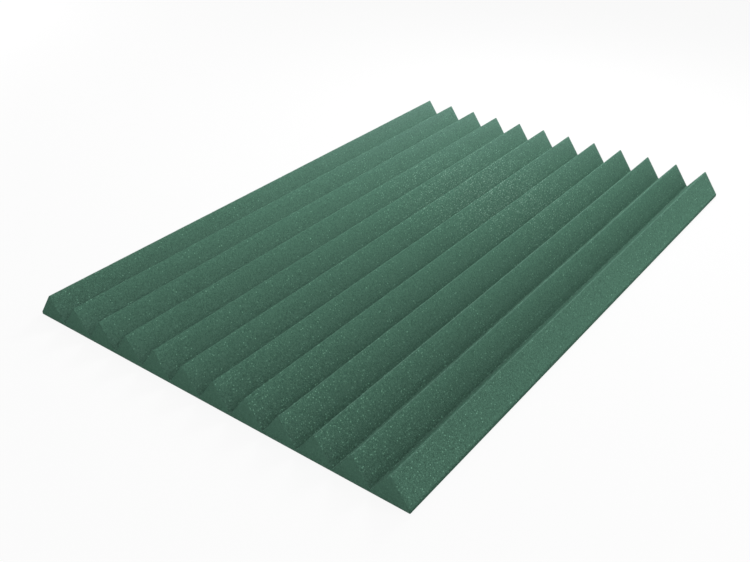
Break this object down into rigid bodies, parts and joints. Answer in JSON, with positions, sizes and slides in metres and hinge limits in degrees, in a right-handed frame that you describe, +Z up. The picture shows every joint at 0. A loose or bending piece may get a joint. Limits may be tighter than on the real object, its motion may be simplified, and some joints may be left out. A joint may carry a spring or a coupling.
{
  "type": "acoustic foam panel",
  "caption": "Rectangular acoustic foam panel with long straight wedge ridges on its face and peel-and-stick mounting strips along its flat back.",
  "frame": {"origin": "middle of the underside, on the middle release liner's lower face", "axes": "+X across the ridges, +Y along the ridges (the long side), +Z up from the back face to the crests; the liners' pull tabs are at the -Y end"},
  "size_m": [0.6096, 0.903, 0.0392],
  "materials": {
    "foam": "matte",
    "tape": "matte",
    "liner": "satin"
  },
  "bodies": {
    "root": {"foam_panel": "foam", "mounting_tape_1": "tape", "mounting_tape_2": "tape", "mounting_tape_3": "tape", "mounting_tape_4": "tape", "mounting_tape_5": "tape", "release_liner_1": "liner", "release_liner_2": "liner", "release_liner_3": "liner", "release_liner_4": "liner", "release_liner_5": "liner"}
  },
  "joints": []
}
